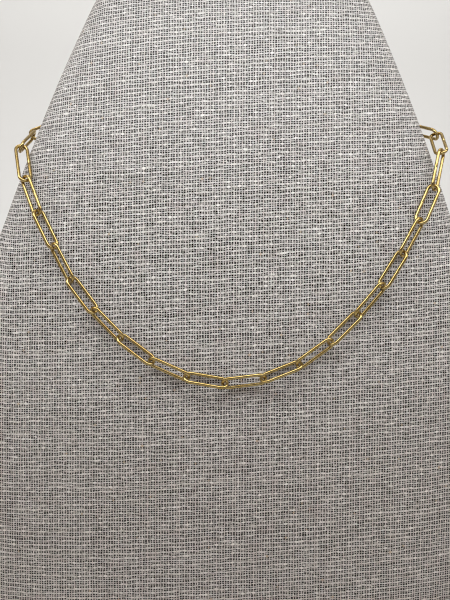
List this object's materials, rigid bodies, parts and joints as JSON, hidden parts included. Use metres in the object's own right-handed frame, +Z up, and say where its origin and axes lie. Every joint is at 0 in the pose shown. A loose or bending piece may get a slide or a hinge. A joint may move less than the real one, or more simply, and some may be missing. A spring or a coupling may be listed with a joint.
{
  "type": "paperclip chain necklace on linen display bust",
  "caption": "Necklace of long, interlocked oval links that lies in a U over the leaning front of a tapered, linen covered display bust with a flat base.",
  "frame": {"origin": "on the surface that the bust stands on, under the middle of the whole object", "axes": "+Z up, +Y from the chain's front towards the bust's back, +X to the right of a viewer in front"},
  "size_m": [0.1852, 0.0672, 0.25],
  "materials": {
    "linen": "plain woven, matt",
    "gold": "polished yellow gold plate"
  },
  "bodies": {
    "root": {"bust": "linen", "link_01": "gold", "link_02": "gold", "link_03": "gold", "link_04": "gold", "link_05": "gold", "link_06": "gold", "link_07": "gold", "link_08": "gold", "link_09": "gold", "link_10": "gold", "link_11": "gold", "link_12": "gold", "link_13": "gold", "link_14": "gold", "link_15": "gold", "link_16": "gold", "link_17": "gold", "link_18": "gold", "link_19": "gold", "link_20": "gold", "link_21": "gold", "link_22": "gold", "link_23": "gold", "link_24": "gold", "link_25": "gold", "link_26": "gold", "link_27": "gold", "link_28": "gold", "link_29": "gold", "link_30": "gold", "link_31": "gold", "clasp": "gold", "jump_ring_left": "gold", "jump_ring_right": "gold"}
  },
  "joints": []
}
